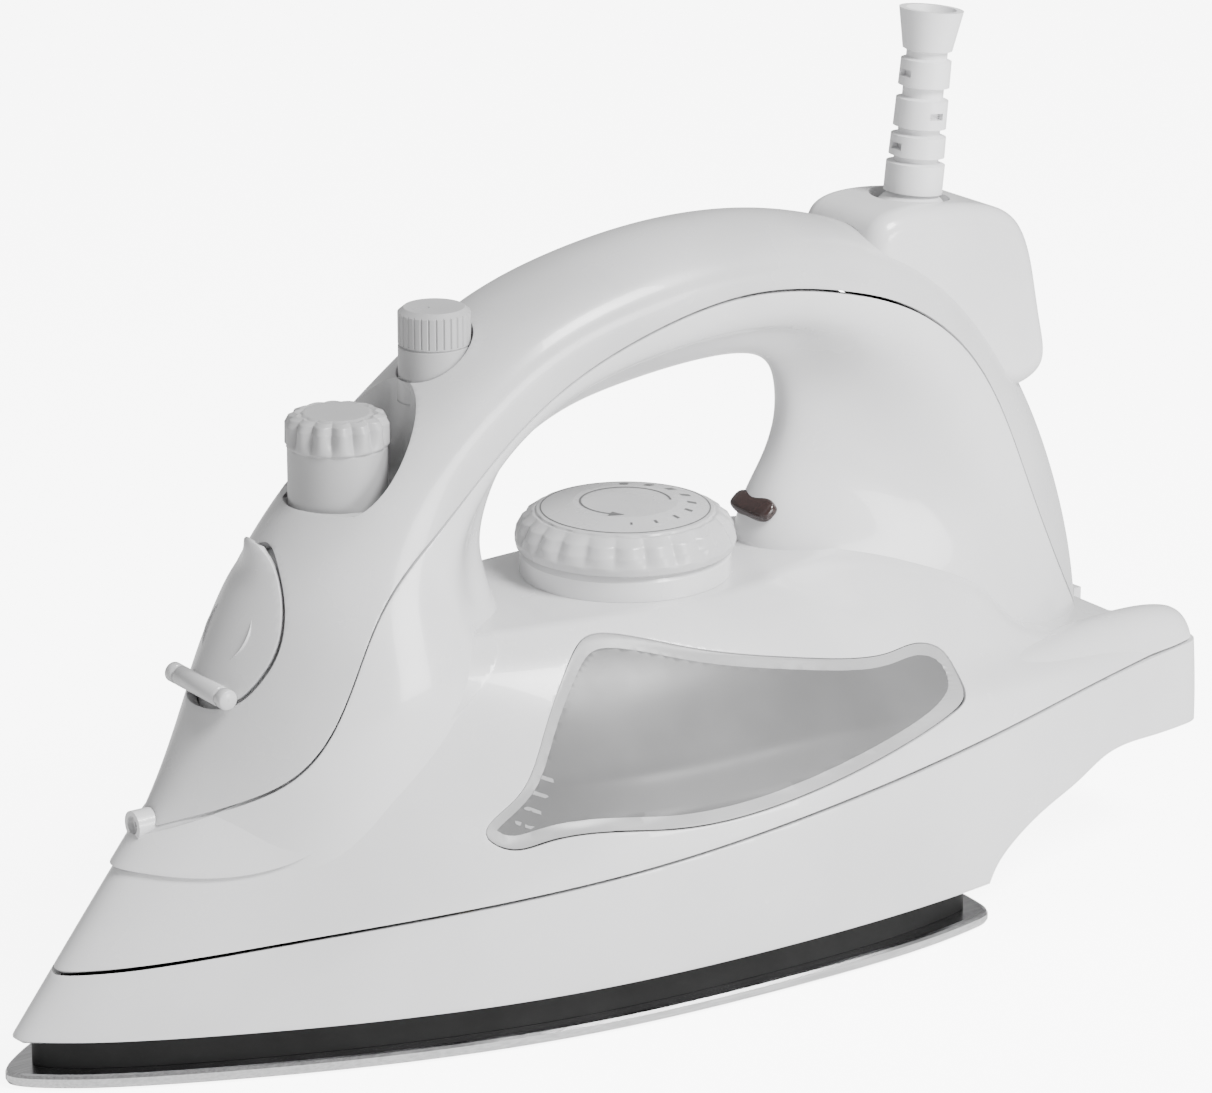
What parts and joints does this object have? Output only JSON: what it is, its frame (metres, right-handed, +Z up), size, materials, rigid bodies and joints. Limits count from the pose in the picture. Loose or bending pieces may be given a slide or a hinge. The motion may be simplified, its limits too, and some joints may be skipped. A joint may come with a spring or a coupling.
{
  "type": "steam iron",
  "caption": "Steam iron: stainless soleplate, smoked tank windows, closed-loop handle with filler flap, spray and steam knobs, thermostat dial and swivelling ribbed cord outlet.",
  "frame": {"origin": "middle of the soleplate's length, on its flat underside", "axes": "+X forward to the nose, +Y to the iron's left side, +Z up"},
  "size_m": [0.2867, 0.101, 0.19],
  "materials": {
    "steel": "polished pan with a fine brushed underside",
    "cast_metal": "as cast, matt",
    "heater_sheath": "heat-tinted tube",
    "screw_steel": "zinc plated",
    "spring_steel": "drawn wire",
    "black_plastic": "satin heat-proof phenolic",
    "white_plastic": "glossy moulded",
    "cover_plastic": "glossy moulded, a shade greyer",
    "knob_plastic": "satin moulded",
    "dial_plastic": "glossy moulded with printed marks",
    "guard_plastic": "soft moulded, satin",
    "smoked_window": "smoked clear moulding",
    "clear_tank": "clear moulding",
    "seal_rubber": "silicone rubber",
    "hose_rubber": "silicone rubber",
    "brass": "turned",
    "ceramic_block": "unglazed steatite",
    "lens_plastic": "tinted clear moulding",
    "lamp_glass": "clear bulb in a holder"
  },
  "bodies": {
    "root": {"soleplate": "steel", "sole_casting": "cast_metal", "heating_element": "heater_sheath", "chamber_cover": "cast_metal", "chamber_screws": "screw_steel", "body_screws": "screw_steel", "heat_band": "black_plastic", "skirt": "white_plastic", "body_shell": "white_plastic", "tank_window": "smoked_window", "water_tank": "clear_tank", "handle_lower": "white_plastic", "handle_top": "cover_plastic", "flap_pin": "screw_steel", "filler_duct": "clear_tank", "pump_spring": "spring_steel", "pump_cylinder": "white_plastic", "valve_body": "brass", "valve_gasket": "seal_rubber", "dial_collar": "white_plastic", "thermostat": "ceramic_block", "cord_hood": "white_plastic", "swivel_retainer": "screw_steel", "pilot_lens": "lens_plastic", "pilot_lamp": "lamp_glass", "terminal_block": "ceramic_block", "terminal_screws": "brass", "cord_clamp": "white_plastic", "thermal_fuse": "ceramic_block", "spray_nozzle": "white_plastic", "spray_hose": "hose_rubber"},
    "dial": {"thermostat_dial": "dial_plastic", "dial_shaft": "brass"},
    "steam_setting": {"steam_knob": "knob_plastic"},
    "needle": {"steam_needle": "brass"},
    "pump": {"pump_plunger": "white_plastic"},
    "spray_button": {"pump_button": "knob_plastic"},
    "flap": {"filler_flap": "cover_plastic", "flap_seal": "seal_rubber"},
    "swivel": {"swivel_ring": "white_plastic"},
    "cord_outlet": {"cord_ball": "guard_plastic", "cord_guard": "guard_plastic"}
  },
  "joints": [
    {"name": "dial_turn", "type": "hinge", "parent": "root", "child": "dial", "pos_m": [-0.0425, 0, 0.0853], "axis": [0, 0, -1], "range_deg": [0, 290]},
    {"name": "steam_turn", "type": "hinge", "parent": "root", "child": "steam_setting", "pos_m": [0.0046, 0, 0.1255], "axis": [0, 0, 1], "range_deg": [0, 120]},
    {"name": "needle_lift", "type": "slide", "parent": "root", "child": "needle", "axis": [0, 0, 1], "range_m": [0, 0.003]},
    {"name": "pump_press", "type": "slide", "parent": "root", "child": "pump", "axis": [0, 0, -1], "range_m": [0, 0.005], "stiffness_N_per_m": 600, "springref_m": -0.004, "deforming": ["pump_spring"]},
    {"name": "button_select", "type": "hinge", "parent": "pump", "child": "spray_button", "pos_m": [0.028, 0, 0.12], "axis": [0, 0, 1], "range_deg": [0, 90]},
    {"name": "flap_open", "type": "hinge", "parent": "root", "child": "flap", "pos_m": [0.0609, 0, 0.0746], "axis": [0, 1, 0], "range_deg": [0, 100]},
    {"name": "cord_swivel", "type": "hinge", "parent": "root", "child": "swivel", "pos_m": [-0.1164, 0, 0.1423], "axis": [0, 0, 1], "continuous": true},
    {"name": "cord_tilt", "type": "hinge", "parent": "swivel", "child": "cord_outlet", "pos_m": [-0.1164, 0, 0.1423], "axis": [0, 1, 0], "range_deg": [-8, 19]}
  ],
  "couplings": [
    {"joint": "steam_turn", "follows": "needle_lift", "rad_per_m": 698}
  ]
}
